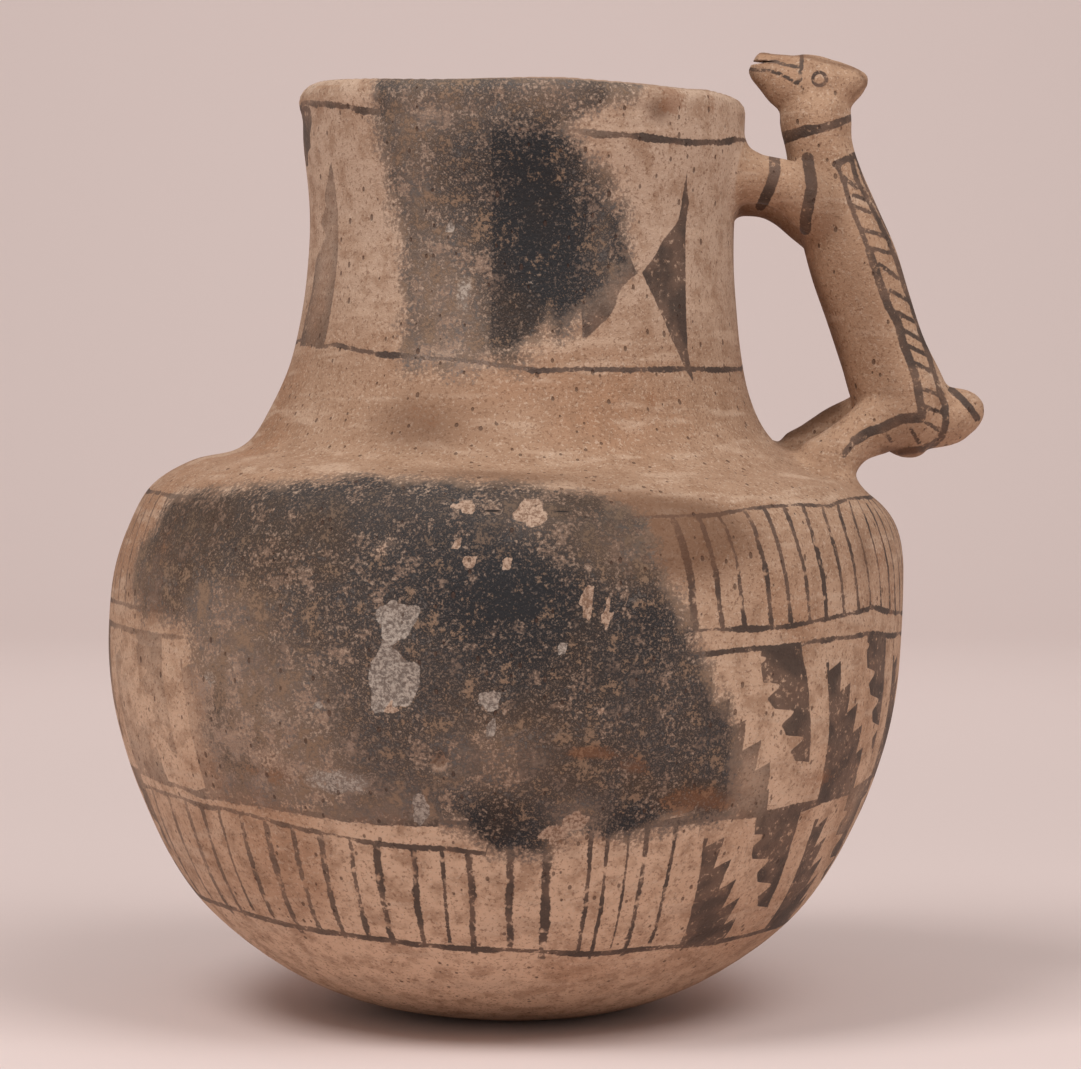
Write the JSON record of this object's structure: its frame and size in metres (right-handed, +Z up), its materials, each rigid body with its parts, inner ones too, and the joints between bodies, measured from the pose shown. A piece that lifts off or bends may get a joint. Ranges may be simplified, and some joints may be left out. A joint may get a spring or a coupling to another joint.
{
  "type": "pottery pitcher",
  "caption": "Round-bottomed painted earthenware pitcher with a wide neck and a handle shaped as an animal standing on the shoulder.",
  "frame": {"origin": "centre of the small worn flat under the round bottom, on which the pitcher rests", "axes": "+Z up through the mouth, +X towards the animal handle, so the handle's side face looks along -Y and +Y"},
  "size_m": [0.1812, 0.1638, 0.1978],
  "materials": {
    "clay": "matt buff fired clay, painted in dark brown and smoke-blackened in places"
  },
  "bodies": {
    "root": {"pitcher": "clay"}
  },
  "joints": []
}
